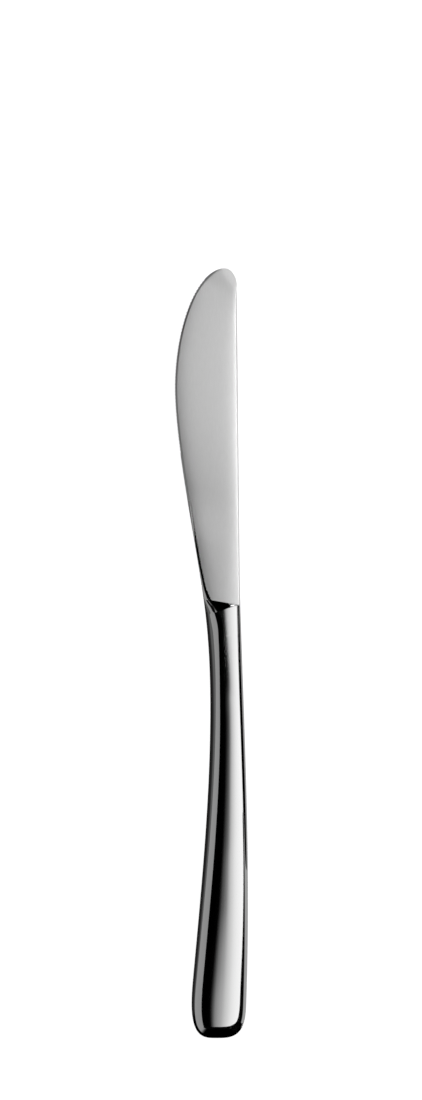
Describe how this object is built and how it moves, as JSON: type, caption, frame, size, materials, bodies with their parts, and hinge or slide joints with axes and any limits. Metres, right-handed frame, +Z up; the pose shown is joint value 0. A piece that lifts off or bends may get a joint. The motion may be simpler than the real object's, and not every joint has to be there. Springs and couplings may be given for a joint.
{
  "type": "dessert knife",
  "caption": "Hollow-handled stainless dessert knife: round-tipped satin blade with a fine serrated edge, smooth shoulder, and a polished handle that flares from a slim waist to a rounded butt.",
  "frame": {"origin": "on the surface that the knife lies on, under the middle of its length and width", "axes": "+Y along the knife towards the tip, +X across it towards the spine, +Z up from the surface, through the handle's thickness"},
  "size_m": [0.02, 0.21, 0.008],
  "materials": {
    "blade_steel": "satin",
    "handle_steel": "polished",
    "braze": "polished",
    "cement": "matte"
  },
  "bodies": {
    "root": {"blade": "blade_steel", "handle_shell_front": "handle_steel", "handle_shell_back": "handle_steel", "seam_braze": "braze", "collar_braze": "braze", "tang_cement": "cement"}
  },
  "joints": []
}
